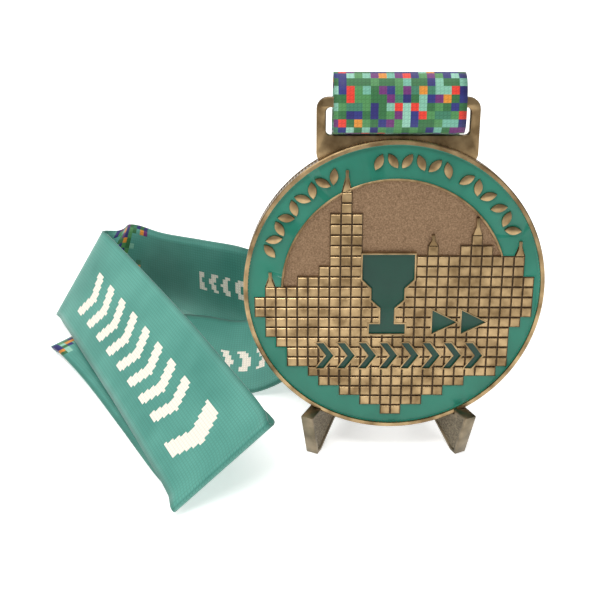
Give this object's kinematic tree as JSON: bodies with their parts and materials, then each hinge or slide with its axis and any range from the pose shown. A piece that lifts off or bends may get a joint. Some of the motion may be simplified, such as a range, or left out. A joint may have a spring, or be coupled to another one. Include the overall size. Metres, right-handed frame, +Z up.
{
  "type": "finisher medal",
  "caption": "Round enamelled sports medal with a slotted hanger and a looped neck ribbon, leaning back on two loose slotted feet.",
  "frame": {"origin": "the point on the table below the middle of the medal's front face", "axes": "+X to the viewer's right along the table, +Y away from the viewer, +Z up"},
  "size_m": [0.1313, 0.1089, 0.0905],
  "materials": {
    "medal_metal": "antique bronze plating, sand-blasted fields and polished edges",
    "teal_enamel": "glossy soft enamel",
    "dark_enamel": "glossy soft enamel",
    "foot_metal": "antique plated casting",
    "ribbon_fabric": "satin woven polyester, printed both sides",
    "stitch_thread": "polyester thread"
  },
  "bodies": {
    "medal": {"medal_casting": "medal_metal", "enamel_ring_sea": "teal_enamel", "enamel_cup": "dark_enamel", "enamel_pennants": "dark_enamel", "enamel_chevron_row": "dark_enamel"},
    "ribbon": {"ribbon_band": "ribbon_fabric", "ribbon_stitching": "stitch_thread"},
    "left_foot": {"foot_left": "foot_metal"},
    "right_foot": {"foot_right": "foot_metal"}
  },
  "joints": [
    {"name": "ribbon_swing", "type": "hinge", "parent": "medal", "child": "ribbon", "pos_m": [0, 0.00934, 0.08401], "axis": [1, 0, 0], "range_deg": [0, 60]},
    {"name": "left_foot_pull", "type": "slide", "parent": "medal", "child": "left_foot", "axis": [0, -0.1392, -0.9903], "range_m": [0, 0.02]},
    {"name": "right_foot_pull", "type": "slide", "parent": "medal", "child": "right_foot", "axis": [0, -0.1392, -0.9903], "range_m": [0, 0.02]}
  ]
}
